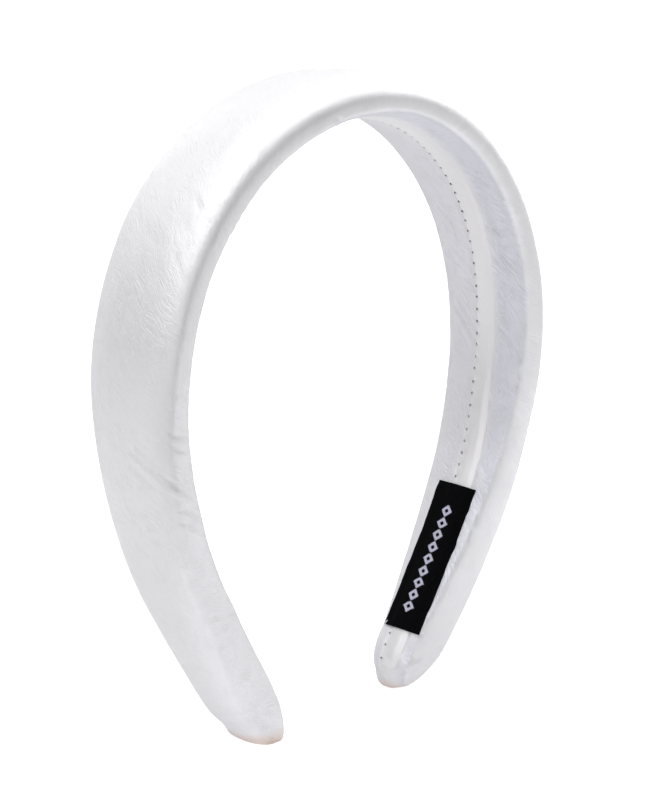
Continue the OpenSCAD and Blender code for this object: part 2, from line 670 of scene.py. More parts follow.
@dataclass(frozen=True)
class BandShape:
    """Measures of the band in millimetres and degrees, and the sections that follow from them.

    Attributes:
        leg: Length of the inner face from the crown to each tip.
        crown_w: Width of the inner face at the crown.
        crown_t: Thickness of the padding at the crown.
        side_swell: How far the sides swell past the face's rim, as a share of the thickness.
        swell_place: Height of the widest line of the sides, as a share of the thickness.
        back_power: Squareness of the padded back, from 2 for an ellipse.
        face_rise: Rise of the inner face along its middle, as a share of its width.
        turn_len: Stretch above each foot over which the padding turns in to it.
        level_len: Stretch above each foot over which the sections come level with the floor.
        foot_swell: Share of the sides' swell that is left at a foot.
        bends: Arcs of the inner face from the crown down, as share of the leg and degrees turned.
        widths: Widths of the face at even places from the crown to the tip, as shares.
        pads: Thicknesses of the padding at the same places, as shares.
        seams: How far behind the middle the stitched fold runs at the same places.
        left: The left foot.
        right: The right foot.
    """

    leg: float = 190.0
    crown_w: float = 30.4
    crown_t: float = 8.9
    side_swell: float = 0.125
    swell_place: float = 0.5
    back_power: float = 2.3
    face_rise: float = 0.065
    turn_len: float = 12.0
    level_len: float = 22.0
    foot_swell: float = 0.3
    bends: tuple[tuple[float, float], ...] = (
        (0.20, 38.2),
        (0.17, 32.5),
        (0.17, 28.4),
        (0.18, 20.1),
        (0.16, 5.5),
    )
    widths: tuple[float, ...] = (1.0, 0.912, 0.797, 0.577, 0.277)
    pads: tuple[float, ...] = (1.0, 0.96, 1.08, 1.41, 1.55)
    seams: tuple[float, ...] = (-3.5, -0.8, 1.4, -0.1, 3.2)
    left: Tip = Tip(8.9, 13.4, 6.6, 5.5)
    right: Tip = Tip(14.6, 7.5, 4.4, 5.6)

    @staticmethod
    def curve(rows: tuple[float, ...], share: np.ndarray) -> np.ndarray:
        """Smooth curve through evenly spaced values.

        Args:
            rows: The values from the crown to the tip.
            share: Places as shares of the leg.

        Returns:
            The curve's value at each place.
        """
        table, last = np.array(rows), len(rows) - 1
        x = share * last
        i = np.minimum(np.floor(x).astype(int), last - 1)
        t = x - i
        before, here, after = table[np.abs(i - 1)], table[i], table[i + 1]
        beyond = np.where(i + 2 > last, 2 * after - here, table[np.minimum(i + 2, last)])
        bend = 2 * before - 5 * here + 4 * after - beyond + t * (3 * (here - after) + beyond - before)
        return here + t / 2 * (after - before + t * bend)

    def path(self, tip: Tip, s: np.ndarray) -> tuple[np.ndarray, np.ndarray, np.ndarray]:
        """Follows one leg's chain of arcs.

        Args:
            tip: The leg's foot.
            s: Lengths from the crown.

        Returns:
            Distance across, distance fallen and degrees turned at each length.
        """
        shares = [b[0] for b in self.bends]
        arcs = [*self.bends, (1 - sum(shares), -tip.flare)]
        across, fallen, turned = np.zeros_like(s), np.zeros_like(s), np.zeros_like(s)
        at_x = at_z = heading = start = 0.0
        for number, (share, turn) in enumerate(arcs):
            long = share * self.leg
            end = np.inf if number == len(arcs) - 1 else start + long
            here = (s >= start) & (s <= end)
            run = np.append(s[here] - start, long)
            bend = turn * run / long
            half = np.radians(bend / 2)
            chord = run * np.sinc(half / math.pi)
            aim = np.radians(heading + bend / 2)
            xs, zs = at_x + chord * np.cos(aim), at_z + chord * np.sin(aim)
            across[here], fallen[here], turned[here] = xs[:-1], zs[:-1], heading + bend[:-1]
            at_x, at_z, heading, start = xs[-1], zs[-1], heading + turn, start + long
        return across, fallen, turned

    def sections(self, sigma: np.ndarray) -> Sections:
        """Sections at places along the band.

        Args:
            sigma: Lengths along the inner face from the crown, negative on the left leg.

        Returns:
            The sections, in the order of sigma.
        """
        s = np.abs(sigma)
        right = sigma >= 0
        whole = np.array([self.leg])
        both = []
        for tip in (self.left, self.right):
            across, fallen, turned = self.path(tip, s)
            fallen = fallen / self.path(tip, whole)[1][0]
            both.append((across, fallen, turned, tip.width, tip.depth, tip.set_back))
        picked = [np.where(right, b, a) for a, b in zip(*both, strict=True)]
        across, fallen, turned, width, depth, set_back = picked
        crown_z = self.path(self.left, whole)[1][0]
        share = s / self.leg
        near = np.minimum((self.leg - s) / self.turn_len, 1.0)
        full = np.sqrt(np.clip(1 - (1 - near) ** 2, 0.0, 1.0))
        half_foot = width / 2
        half_w = self.crown_w / 2 * self.curve(self.widths, share)
        pad = self.crown_t * self.curve(self.pads, share)
        level = ease(1 - (self.leg - s) / self.level_len)
        return Sections(
            place_along=sigma,
            side=np.where(right, 1.0, -1.0),
            across=across,
            height=crown_z * (1 - fallen),
            lean=np.radians(turned + (90 - turned) * level),
            half_w=half_foot + (half_w - half_foot) * full,
            pad=depth + (pad - depth) * full,
            swell=self.side_swell * pad * (self.foot_swell + (1 - self.foot_swell) * full),
            base=set_back * (1 - full),
            edge=self.curve(self.seams, share),
        )

    def face(self, cuts: Sections, y: np.ndarray) -> np.ndarray:
        """How far out the inner face lies at y; negative is towards the head."""
        half = cuts.half_w[:, None]
        return -2 * self.face_rise * half * (1 - np.minimum(np.abs(y) / half, 1.0) ** 2)


BAND = BandShape()


def cloth_object(
    name: str, points: np.ndarray, cloth: np.ndarray, grain: np.ndarray | None = None
) -> bpy.types.Object:
    """Makes a mesh object from a grid of points.

    Args:
        name: The piece's name.
        points: Rows of points in millimetres; each row closes on itself.
        cloth: Each point's place on the cloth, with one more column than points.
        grain: Each point's place along the grain of the cloth, with the weight of the painted hollow shade
            as its second part; that of cloth if left out.

    Returns:
        The object, closed at both ends and shaded smooth.
    """
    rows, columns = points.shape[:2]
    i, j = np.meshgrid(np.arange(rows - 1), np.arange(columns), indexing="ij")
    k = (j + 1) % columns
    here, there = i * columns, (i + 1) * columns
    quads = np.stack([here + j, here + k, there + k, there + j], -1)
    loops, sizes = [quads.reshape(-1)], [np.full(quads[..., 0].size, 4)]
    vertices = points.reshape(-1, 3)
    maps = []
    for spots in (cloth, cloth if grain is None else grain):
        corners = np.stack([spots[i, j], spots[i, j + 1], spots[i + 1, j + 1], spots[i + 1, j]], 2)
        maps.append([corners.reshape(-1, 2)])
    for row in (0, rows - 1):
        hub = len(vertices)
        vertices = np.vstack([vertices, points[row].mean(0)])
        ring = row * columns + np.arange(columns)
        local = points[row][:, :2]
        fan = (np.roll(ring, -1), ring) if row == 0 else (ring, np.roll(ring, -1))
        pair = (np.roll(local, -1, 0), local) if row == 0 else (local, np.roll(local, -1, 0))
        loops.append(np.stack([*fan, np.full(columns, hub)], -1).reshape(-1))
        sizes.append(np.full(columns, 3))
        middle = np.broadcast_to(local.mean(0), local.shape)
        for spots in maps:
            spots.append(np.stack([*pair, middle], 1).reshape(-1, 2))
    mesh = bpy.data.meshes.new(name)
    corners, counts = np.concatenate(loops), np.concatenate(sizes)
    mesh.vertices.add(len(vertices))
    mesh.vertices.foreach_set("co", (vertices * MM).astype(np.float32).reshape(-1))
    mesh.loops.add(len(corners))
    mesh.loops.foreach_set("vertex_index", corners.astype(np.int32))
    mesh.polygons.add(len(counts))
    mesh.polygons.foreach_set("loop_start", (np.cumsum(counts) - counts).astype(np.int32))
    mesh.update(calc_edges=True)
    for title, spots in zip((FABRIC_MAP, GRAIN_MAP), maps, strict=True):
        flat = np.concatenate(spots) * FABRIC_UNIT
        mesh.uv_layers.new(name=title).data.foreach_set("uv", flat.astype(np.float32).reshape(-1))
    mesh.validate()
    mesh.shade_smooth()
    made = bpy.data.objects.new(name, mesh)
    bpy.context.scene.collection.objects.link(made)
    return made


def dress(piece: bpy.types.Object, material: bpy.types.Material, slot: Slot, *nodes: str) -> None:
    """Gives a piece its finish and its place on the frame.

    Args:
        piece: The piece.
        material: Its finish.
        slot: The record's slot that the finish stands for; not used.
        nodes: CAD nodes that the piece replaces.
    """
    piece.data.materials.clear()
    piece.data.materials.append(material)
    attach(piece, BODY)
    if nodes:
        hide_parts(*nodes)
    low, high = piece_box(piece)
    LOG.info("%s: %d faces, from %s to %s mm", piece.name, len(piece.data.polygons), low, high)


def piece_box(piece: bpy.types.Object) -> tuple[list[float], list[float]]:
    """Lowest and highest corner of a piece in millimetres."""
    spots = np.empty(len(piece.data.vertices) * 3, np.float32)
    piece.data.vertices.foreach_get("co", spots)
    spots = spots.reshape(-1, 3) / MM
    return spots.min(0).round(1).tolist(), spots.max(0).round(1).tolist()


@dataclass(frozen=True)
class Crease:
    """One crease of the cloth, which follows the twist of the cloth round the band.

    Attributes:
        twist: The line of the twist that it lies on, in millimetres along the back.
        round: Its middle, in millimetres round the band from the middle of the back.
        reach: Half of its length, measured round the band.
        wide: Width of the groove.
        deep: Its depth; negative for a ridge.
        drift: How far it strays from its line of the twist, for each millimetre round the band.
    """

    twist: float
    round: float
    reach: float
    wide: float
    deep: float
    drift: float = 0.0


@dataclass(frozen=True)
class Fold:
    """One marked crease through given places on the cloth.

    Attributes:
        spots: Places as millimetres along the band and round it.
        wide: Width of the groove.
        deep: Its depth.
    """

    spots: tuple[tuple[float, float], ...]
    wide: float
    deep: float


@dataclass
class LaidCloth:
    """The satin as it lies on the smooth shape; every field is a grid over the cover's points.

    Attributes:
        along: Millimetres along the band from the crown.
        round: Millimetres round the band from the middle of the back, positive to the front.
        behind: Millimetres behind the stitched fold, on the inner face.
        wall: How far a point faces to the front or rear, from 0 to 1.
        face: One on the inner face, and 0 elsewhere.
        slant: Angle between the band's direction and the twist of the cloth.
        twist: The line of the twist that a point lies on.
    """

    along: np.ndarray
    round: np.ndarray
    behind: np.ndarray
    wall: np.ndarray
    face: np.ndarray
    slant: np.ndarray = field(init=False)
    twist: np.ndarray = field(init=False)

    BACK_SLANT = 47.0
    WALL_SLANT = 62.0
    FACE_SLANT = 44.0

    def __post_init__(self) -> None:
        """Works out the twist of the cloth."""
        flat = self.BACK_SLANT + (self.FACE_SLANT - self.BACK_SLANT) * self.face
        self.slant = np.radians(flat + (self.WALL_SLANT - flat) * ease(self.wall * 1.25 - 0.2))
        step = np.diff(self.round, axis=1)
        middle = (self.slant[:, 1:] + self.slant[:, :-1]) / 2
        run = np.cumsum(step / np.tan(middle), axis=1)
        run = np.hstack([np.zeros((len(run), 1)), run])
        at_back = np.argmin(np.abs(self.round), axis=1)
        run -= np.take_along_axis(run, at_back[:, None], axis=1)
        self.twist = self.along + run

    def line_at(self, along: float, place: float) -> float:
        """The line of the twist through a place on the cloth."""
        row = min(int(np.searchsorted(self.along[:, 0], along)), len(self.along) - 1)
        return float(np.interp(place, self.round[row], self.twist[row]))

    def press(self, height: np.ndarray, crease: Crease) -> None:
        """Adds one crease to a height over the cloth.

        Args:
            height: The height, which is changed.
            crease: The crease.
        """
        shift = np.interp(crease.round, self.round[0], (self.twist - self.along)[len(self.along) // 2])
        # Only the rows near the crease are worked on, with room to spare
        lead = 2.2 * crease.reach + 12
        rows = np.flatnonzero(np.abs(self.along[:, 0] + shift - crease.twist) < lead)
        if len(rows) < 2:
            return
        block = slice(rows[0], rows[-1] + 1)
        off_round = self.round[block] - crease.round
        off = (self.twist[block] - crease.twist - crease.drift * off_round) * np.sin(self.slant[block])
        taper = np.clip(1 - (off_round / crease.reach) ** 2, 0, 1) ** 1.3
        height[block] += crease.deep * taper * groove(off, crease.wide, 0.55, 1.8)

    def press_fold(self, height: np.ndarray, fold: Fold) -> None:
        """Adds one marked crease to a height over the cloth.

        Args:
            height: The height, which is changed.
            fold: The crease.
        """
        spots = np.array(fold.spots)
        margin = 5 * fold.wide
        low, high = spots[:, 0].min() - margin, spots[:, 0].max() + margin
        block = slice(*np.searchsorted(self.along[:, 0], (low, high)))
        here = np.stack([self.along[block], self.round[block]], -1)
        nearest = np.full(here.shape[:2], np.inf)
        side, share = np.zeros_like(nearest), np.zeros_like(nearest)
        legs = len(spots) - 1
        for number, (start, end) in enumerate(zip(spots[:-1], spots[1:], strict=True)):
            run = end - start
            long = float(np.hypot(*run))
            part = np.clip((here - start) @ run / long**2, 0, 1)
            gap = here - start - part[..., None] * run
            away = np.hypot(gap[..., 0], gap[..., 1])
            closer = away < nearest
            nearest = np.where(closer, away, nearest)
            side = np.where(closer, np.sign(run[0] * gap[..., 1] - run[1] * gap[..., 0]), side)
            share = np.where(closer, (number + part) / legs, share)
        taper = 1 - np.abs(2 * share - 1) ** 3
        height[block] += fold.deep * taper * groove(nearest * side, fold.wide, 0.6, 1.9)


@dataclass(frozen=True)
class FootLift:
    """How the corners of a foot are rounded up off the floor, in millimetres.

    Attributes:
        level: Lift at the middle of the foot's inner edge.
        outwards: What is added at its outer edge.
        forwards: What is added at its front, and taken off at its rear.
        reach: Height over the floor where the lift has died away.
    """

    level: float
    outwards: float
    forwards: float
    reach: float


@dataclass
class SatinCover:
    """The padded band under its satin.

    Attributes:
        shape: Measures of the band.
        straight_rings: Rings along the straight run of a leg.
        tip_rings: Rings along the turned-in stretch of its tip.
        columns: Points round a ring.
        dense: Points round the profile that a ring is divided from.
        ring_start: Where each ring starts, in millimetres in front of the stitched fold.
        lap_front: Where the lap's front edge lies, in millimetres in front of the stitched fold.
        crown_waist: Height of the widest line at the crown, as a share of the padding.
        waist_reach: Share of the leg over which it comes to the lower sections' height.
        rim_soften: How far the rims are rounded, from 0 to 1.
        left_lift: Rounding of the left foot.
        right_lift: Rounding of the right foot.
        bundles: Number of bundles of drawn creases.
        bundle_deep: Scale of their depths.
        crease_reach: How far along the band they are drawn.
        bulge: Height of the slow unevenness of the wadding.
        pull: Height of the slack along the twist.
        wall_ripple: Height of the ripples on the walls.
        fine_ripple: Height of the ripples everywhere.
        seam_dip: How deep the stitches draw the cloth in.
        folds: The creases that the photograph fixes.
        seed: Seed of the drawn creases.
        finish: The satin.
    """

    shape: BandShape = BAND
    straight_rings: int = 318
    tip_rings: int = 26
    columns: int = 132
    dense: int = 420
    ring_start: float = 2.3
    lap_front: float = 4.6
    crown_waist: float = 0.34
    waist_reach: float = 0.45
    rim_soften: float = 0.55
    left_lift: FootLift = FootLift(-0.45, 0.65, -0.65, 15.0)
    right_lift: FootLift = FootLift(0.6, 1.1, 1.1, 10.0)
    bundles: int = 620
    bundle_deep: float = 0.022
    crease_reach: float = 186.0
    bulge: float = 0.15
    pull: float = 0.06
    wall_ripple: float = 0.045
    fine_ripple: float = 0.018
    seam_dip: float = 0.22
    folds: tuple[Fold, ...] = (
        Fold(((-101, 1), (-103, 5), (-106, 10), (-109.5, 14), (-115.5, 19)), 0.60, 0.34),
        Fold(((-99.5, 3), (-102, 6.5), (-105, 11)), 0.50, 0.22),
        Fold(((-104, 1), (-106.5, 5), (-109.5, 9)), 0.50, 0.20),
        Fold(((-113.5, 12.6), (-116, 15.6), (-120, 19.3)), 0.50, 0.22),
        Fold(((-116.5, 12), (-119, 15), (-122.7, 18.2)), 0.50, 0.18),
        Fold(((-96, 12), (-98, 14.6), (-99.3, 18)), 0.50, 0.20),
        Fold(((-99, 12.5), (-101, 15), (-102.7, 18.7)), 0.50, 0.20),
        Fold(((-116, 0), (-117, 3.2), (-118.5, 5.7)), 0.45, 0.16),
        Fold(((-100, -3.6), (-102, -0.6)), 0.45, 0.16),
        Fold(((-13.6, 18.9), (-12.2, 20), (-11, 21.5)), 0.50, 0.30),
        Fold(((88.2, -22.3), (92.6, -27), (98, -31.3)), 0.55, 0.24),
        Fold(((87.2, -25), (91.5, -29), (95.5, -32.5)), 0.50, 0.18),
        Fold(((80.2, -27.4), (81.4, -30), (83, -32.4)), 0.45, 0.16),
        Fold(((90.5, 28.4), (95, 24.2), (99.4, 19.5)), 0.60, 0.22),
        Fold(((137, 22.2), (141.4, 18.8), (145.2, 14.5)), 0.55, 0.18),
        Fold(((142.3, 21.3), (146.5, 18), (149.7, 15.3)), 0.55, 0.16),
        Fold(((176.5, 20.2), (179, 17.5), (181, 14.4)), 2.00, 0.45),
        Fold(((183.6, 20), (184.6, 17.5), (184, 14.5)), 0.60, 0.24),
        Fold(((173, -20), (179, -18.5), (185, -17)), 3.20, -0.65),
        Fold(((-186, 5.5), (-175, 6.2), (-163, 7.3), (-148, 9.8), (-130, 9.6), (-96, 9)), 1.20, -0.24),
        Fold(((172.4, 17.2), (173.2, 17.7), (174, 18.4)), 0.45, 0.30),
    )
    seed: int = 11
    finish: CrinkledSatin = CrinkledSatin("crinkled_satin")

    def places(self) -> np.ndarray:
        """Places of the rings along the band, closer together where the tips turn in."""
        leg, turn = self.shape.leg, self.shape.turn_len
        upper = (leg - turn) * np.arange(1, self.straight_rings + 1) / self.straight_rings
        share = np.arange(1, self.tip_rings + 1) / self.tip_rings
        lower = leg - turn * (1 - np.cos(np.pi / 2 * (1 - share)))
        half = np.concatenate([upper, lower])
        return np.concatenate([-half[::-1], [0.0], half])

    def profile(self, cuts: Sections) -> tuple[np.ndarray, np.ndarray, np.ndarray]:
        """Rings of the smooth cover, evenly divided.

        Args:
            cuts: The sections.

        Returns:
            Each ring's y, its distance out, and its running length from the middle of the back.
        """
        half, swell, pad = cuts.half_w[:, None], cuts.swell[:, None], cuts.pad[:, None]
        start = (cuts.edge - self.ring_start)[:, None]
        share = np.abs(cuts.place_along)[:, None] / self.shape.leg
        lower = self.crown_waist - self.shape.swell_place
        waist = (self.crown_waist - lower * ease(share / self.waist_reach)) * pad
        quarter = np.linspace(0, np.pi / 2, self.dense // 10)[None, :]
        arc = np.linspace(0, np.pi, self.dense // 2)[None, :]
        power = 2 / self.shape.back_power
        share = np.linspace(0, 1, self.dense // 5)[None, :]
        rear = start + (half - start) * share
        front = -half + (start + half) * share
        side_y = half + swell * np.sin(quarter)
        side_out = waist * (1 - np.cos(quarter))
        back_y = (half + swell) * np.sign(np.cos(arc)) * np.abs(np.cos(arc)) ** power
        back_out = waist + (pad - waist) * np.abs(np.sin(arc)) ** power
        face = self.shape.face
        y = np.hstack([rear, side_y[:, 1:], back_y[:, 1:], -side_y[:, -2::-1], front[:, 1:]])
        ends = face(cuts, rear), face(cuts, front)[:, 1:]
        out = np.hstack([ends[0], side_out[:, 1:], back_out[:, 1:], side_out[:, -2::-1], ends[1]])
        step = np.hypot(np.diff(y, axis=1), np.diff(out, axis=1))
        run = np.hstack([np.zeros((len(y), 1)), np.cumsum(step, axis=1)])
        top = rear.shape[1] + side_y.shape[1] - 1 + back_y.shape[1] // 2
        ring_y = np.empty((len(y), self.columns))
        ring_out, ring_run = np.empty_like(ring_y), np.empty_like(ring_y)
        for row in range(len(y)):
            where = np.linspace(0, run[row, -1], self.columns + 1)[:-1]
            ring_y[row] = np.interp(where, run[row], y[row])
            ring_out[row] = np.interp(where, run[row], out[row])
            ring_run[row] = where - run[row, top]
        return ring_y, ring_out, ring_run

    def soften(self, ring: np.ndarray) -> np.ndarray:
        """Rounds the rims a little by averaging each point with its neighbours."""
        weight = self.rim_soften / 4
        for _ in range(3):
            beside = np.roll(ring, 1, 1) + np.roll(ring, -1, 1)
            ring = ring * (1 - 2 * weight) + weight * beside
        return ring

    def tip_lift(self, cuts: Sections, y: np.ndarray, out: np.ndarray, height: np.ndarray) -> np.ndarray:
        """How far the corners of the feet are rounded up off the floor.

        Args:
            cuts: The sections.
            y: Each point's distance behind the middle of the band.
            out: Its distance out from the line of the rims.
            height: Its height.

        Returns:
            The lift at each point.
        """
        lift = np.zeros_like(height)
        feet = ((self.shape.left, self.left_lift, -1.0), (self.shape.right, self.right_lift, 1.0))
        for tip, corner, side in feet:
            depth = np.clip((out + cuts.base[:, None] - tip.set_back) / tip.depth, -0.5, 2.0)
            front = np.clip(-2 * y / tip.width, -1.5, 1.5)
            raised = corner.level + corner.outwards * depth + corner.forwards * front
            raised = (raised + np.sqrt(raised**2 + 0.04)) / 2
            here = (cuts.side[:, None] == side) & (height < corner.reach)
            fall = np.clip(1 - height / corner.reach, 0.0, 1.0) ** 2
            lift += np.where(here, raised * fall, 0.0)
        return lift

    def creases(self, cloth: LaidCloth) -> list[Crease]:
        """Draws the creases, which come in bundles of near-parallel lines.

        Args:
            cloth: The cloth.

        Returns:
            The creases.
        """
        draw = np.random.default_rng(self.seed)
        half = float(np.abs(cloth.round).max())
        found = []
        for _ in range(self.bundles):
            along, place = draw.uniform(-self.crease_reach, self.crease_reach), draw.uniform(-half, half)
            reach = 0.5 + draw.gamma(2.0, 1.1)
            twist = cloth.line_at(along, place)
            strength = draw.gamma(2.2, self.bundle_deep)
            for _ in range(draw.integers(1, 6)):
                found.append(
                    Crease(
                        twist=twist,
                        round=place + draw.normal(0, 0.5 * reach),
                        reach=reach * draw.uniform(0.6, 1.3),
                        wide=draw.uniform(0.38, 0.7),
                        deep=strength * draw.uniform(0.5, 1.2),
                        drift=draw.normal(0, 0.18),
                    )
                )
                twist += draw.uniform(1.2, 3.0)
        return found

    def relief(self, cloth: LaidCloth) -> np.ndarray:
        """Height of the cloth over the smooth shape.

        Args:
            cloth: The cloth.

        Returns:
            The height at each point, outwards.
        """
        slow, mid, ripple = ClothNoise(3), ClothNoise(4), ClothNoise(5)
        height = self.bulge * slow.at(cloth.along / 17 + 60, cloth.round / 13 + 60)
        height += self.pull * mid.at(cloth.twist / 7 + 90, cloth.round / 5 + 90)
        patch = ease(slow.at(cloth.along / 12 + 9, cloth.round / 9 + 30) * 1.5 + 0.55)
        wall = ease(cloth.wall * 1.6 - 0.5)
        wall_wave = ripple.at(cloth.twist / 0.95 + 20, cloth.round / 4.2 + 20)
        height += self.wall_ripple * wall * patch * wall_wave
        height += self.fine_ripple * ripple.at(cloth.twist / 1.6 + 120, cloth.round / 3.4 + 60)
        for crease in self.creases(cloth):
            cloth.press(height, crease)
        for fold in self.folds:
            cloth.press_fold(height, fold)
        on_seam = (cloth.face > 0.5) & (cloth.behind > -1)
        height -= self.seam_dip * np.where(on_seam, bell(np.maximum(cloth.behind, 0), 0.9), 0.0)
        # Beneath the lap the cloth only dips, so that it doesn't poke through
        covered = (cloth.face > 0.5) & (cloth.behind < 0.3) & (cloth.behind > -self.lap_front - 1)
        height = np.where(covered, np.minimum(height, 0.0), height)
        return height * ease((self.shape.leg - np.abs(cloth.along)) / 2.5)

    def build(self) -> bpy.types.Object:
        """Makes the cover."""
        sigma = self.places()
        cuts = self.shape.sections(sigma)
        ring_y, ring_out, ring_run = self.profile(cuts)
        ring_y, ring_out = self.soften(ring_y), self.soften(ring_out)
        points = cuts.at(ring_y, ring_out)
        along = np.gradient(points, axis=0)
        round_it = np.roll(points, -1, 1) - np.roll(points, 1, 1)
        normal = np.cross(round_it, along)
        normal /= np.maximum(np.linalg.norm(normal, axis=-1, keepdims=True), 1e-9)
        grid = np.broadcast_to(sigma[:, None], ring_run.shape)
        on_face = ease(1.2 - ring_out / 0.5) * (np.abs(ring_run) > cuts.half_w[:, None])
        cloth = LaidCloth(grid, ring_run, ring_y - cuts.edge[:, None], np.abs(normal[..., 1]), on_face)
        points = points + normal * self.relief(cloth)[..., None]
        height = points[..., 2]
        points[..., 2] = np.maximum(height + self.tip_lift(cuts, ring_y, ring_out, height), 0.0)
        # Weight of the painted bluish shade on the inner face: full in front of the lap, and part of it
        # just behind the fold.
        in_front = ease((-self.lap_front - cloth.behind) / 3)
        hollow = HOLLOW * cloth.face * (in_front + 0.45 * ease(cloth.behind / 1.5))
        spots = [self.wrapped(part) for part in (cloth.along, cloth.round, cloth.twist, hollow)]
        piece = cloth_object("satin_cover", points, np.stack(spots[:2], -1), np.stack(spots[2:], -1))
        dress(piece, self.finish.material(), Slot.SATIN, "padded_cover")
        return piece

    @staticmethod
    def wrapped(grid: np.ndarray) -> np.ndarray:
        """Adds a last column that carries each row one step on."""
        return np.hstack([grid, 2 * grid[:, -1:] - grid[:, -2:-1]])


@dataclass
class LapFold:
    """The turned-in edge of the satin: a strip folded under itself and stitched down along its fold.

    Attributes:
        shape: Measures of the band.
        end: Distance from the strip's ends to the feet.
        fade: Stretch at each end over which it sinks into the cover.
        width: Width of its raised part.
        slope: Width of the slope in front of it.
        turned_in: Width of the cloth that is turned under.
        proud: Height of its top over the face.
        bed: Height of the turned-in cloth's middle over the face.
        cloth_t: Thickness of the cloth.
        step: Distance between its rings.
        pitch: Distance between stitches.
        phase: Place of the stitch nearest the crown.
        grain_slope: How far the grain leans for each millimetre across.
        pattern_from: Where the strip's crinkles are taken from, clear of those of the cover.
        seed: Seed of its ripples.
        finish: The satin.
    """

    shape: BandShape = BAND
    end: float = 4.0
    fade: float = 6.0
    width: float = 4.6
    slope: float = 0.9
    turned_in: float = 4.2
    proud: float = 0.42
    bed: float = 0.09
    cloth_t: float = 0.15
    step: float = 0.5
    pitch: float = 3.118
    phase: float = 1.25
    grain_slope: float = 1.4
    pattern_from: float = 60.0
    seed: int = 21
    finish: CrinkledSatin = CrinkledSatin(
        "smooth_satin", colour=(0.83, 0.82, 0.825), crease_shade_colour=(0.80, 0.79, 0.80), crinkle=0.3
    )

    def middle_line(self) -> np.ndarray:
        """Points of the folded cloth's middle, as distance behind the fold and height over the face."""
        low, high = self.bed, self.proud - self.cloth_t / 2
        radius = (high - low) / 2
        turn = np.linspace(-np.pi / 2, np.pi / 2, 7)
        under = grid_of(np.linspace(-self.turned_in, -radius - 0.3, 6), low)
        fold = np.stack([radius * np.cos(turn) - radius, (low + high) / 2 + radius * np.sin(turn)], -1)
        share = np.linspace(0, 1, 16)[1:]
        over_y = -radius - share * (self.width + self.slope - radius)
        fall = ease((-over_y - self.width + 1.1) / (self.slope + 1.1))
        over = np.stack([over_y, high - (high + 0.12) * fall], -1)
        return np.vstack([under, fold, over])

    def outline(self) -> np.ndarray:
        """Closed outline round the folded cloth."""
        line = self.middle_line()
        slope = np.gradient(line, axis=0)
        slope /= np.linalg.norm(slope, axis=1, keepdims=True)
        side = np.stack([slope[:, 1], -slope[:, 0]], -1) * self.cloth_t / 2
        return np.vstack([line + side, (line - side)[::-1]])

    def build(self) -> bpy.types.Object:
        """Makes the strip."""
        reach = self.shape.leg - self.end
        sigma = np.linspace(-reach, reach, int(2 * reach / self.step))
        cuts = self.shape.sections(sigma)
        outline = self.outline()
        wave = ClothNoise(self.seed)
        along = sigma[:, None]
        stitch = bell((along - self.phase + self.pitch / 2) % self.pitch - self.pitch / 2, 0.55)
        behind = np.broadcast_to(outline[None, :, 0], (len(sigma), len(outline)))
        over = np.broadcast_to(outline[None, :, 1], behind.shape)
        near_fold = bell(behind, 1.1)
        upper = np.clip(over / self.proud, 0, 1)
        lift = 1 - 0.42 * stitch * near_fold
        ripple = 0.05 * wave.at(along / 4 + 50, behind / 1.6 + 50)
        ripple += 0.07 * wave.at(along / 13, behind / 3 + 20)
        sway = 0.14 * wave.at(along / 6 + 7, np.full_like(behind, 0.5)) - 0.16 * stitch * near_fold
        y = cuts.edge[:, None] + behind + sway
        stay = ease((reach - np.abs(along)) / self.fade)
        height = (over * lift + ripple * upper) * stay - 0.35 * (1 - stay)
        points = cuts.at(y, self.shape.face(cuts, y) - height)
        run = np.concatenate([[0], np.cumsum(np.hypot(*np.diff(outline, axis=0).T))])
        run = np.append(run, run[-1] + 0.2)
        grain = grid_of(along - run * self.grain_slope, 0.0)
        piece = cloth_object("lap_fold", points, grid_of(along, self.pattern_from - run), grain)
        dress(piece, self.finish.material(), Slot.SATIN, "seam_lap")
        return piece


